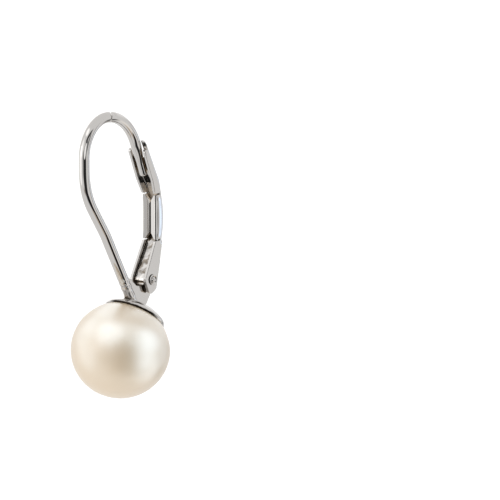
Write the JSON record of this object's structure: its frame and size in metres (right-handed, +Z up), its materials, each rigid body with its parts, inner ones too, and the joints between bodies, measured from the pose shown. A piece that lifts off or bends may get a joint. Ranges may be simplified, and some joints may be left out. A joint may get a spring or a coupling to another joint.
{
  "type": "pearl leverback earring",
  "caption": "Leverback drop earring of polished white metal: a round cream pearl in a shallow cup under a curved ear wire, closed behind the ear by a folded, hinged lever.",
  "frame": {"origin": "the underside of the ear wire at its crown, where the earring hangs in the ear", "axes": "+Z up as it hangs; -Y to the front, where the pearl faces; +Y to the lever behind the ear; the loop of wire and lever lies in the plane X = 0"},
  "size_m": [0.008, 0.0106, 0.0239],
  "materials": {
    "hook_plate": "polished rhodium plate on silver",
    "lever_plate": "polished rhodium plate on pressed silver sheet",
    "rivet_plate": "polished rhodium plate, domed heads",
    "nacre": "cream nacre with a soft satin lustre"
  },
  "bodies": {
    "hook": {"ear_hook": "hook_plate", "pearl": "nacre"},
    "lever": {"lever": "lever_plate", "hinge_rivet": "rivet_plate"}
  },
  "joints": [
    {"name": "lever_hinge", "type": "hinge", "parent": "hook", "child": "lever", "pos_m": [0, 0.00528, -0.01363], "axis": [-1, 0, 0], "range_deg": [0, 75]}
  ]
}
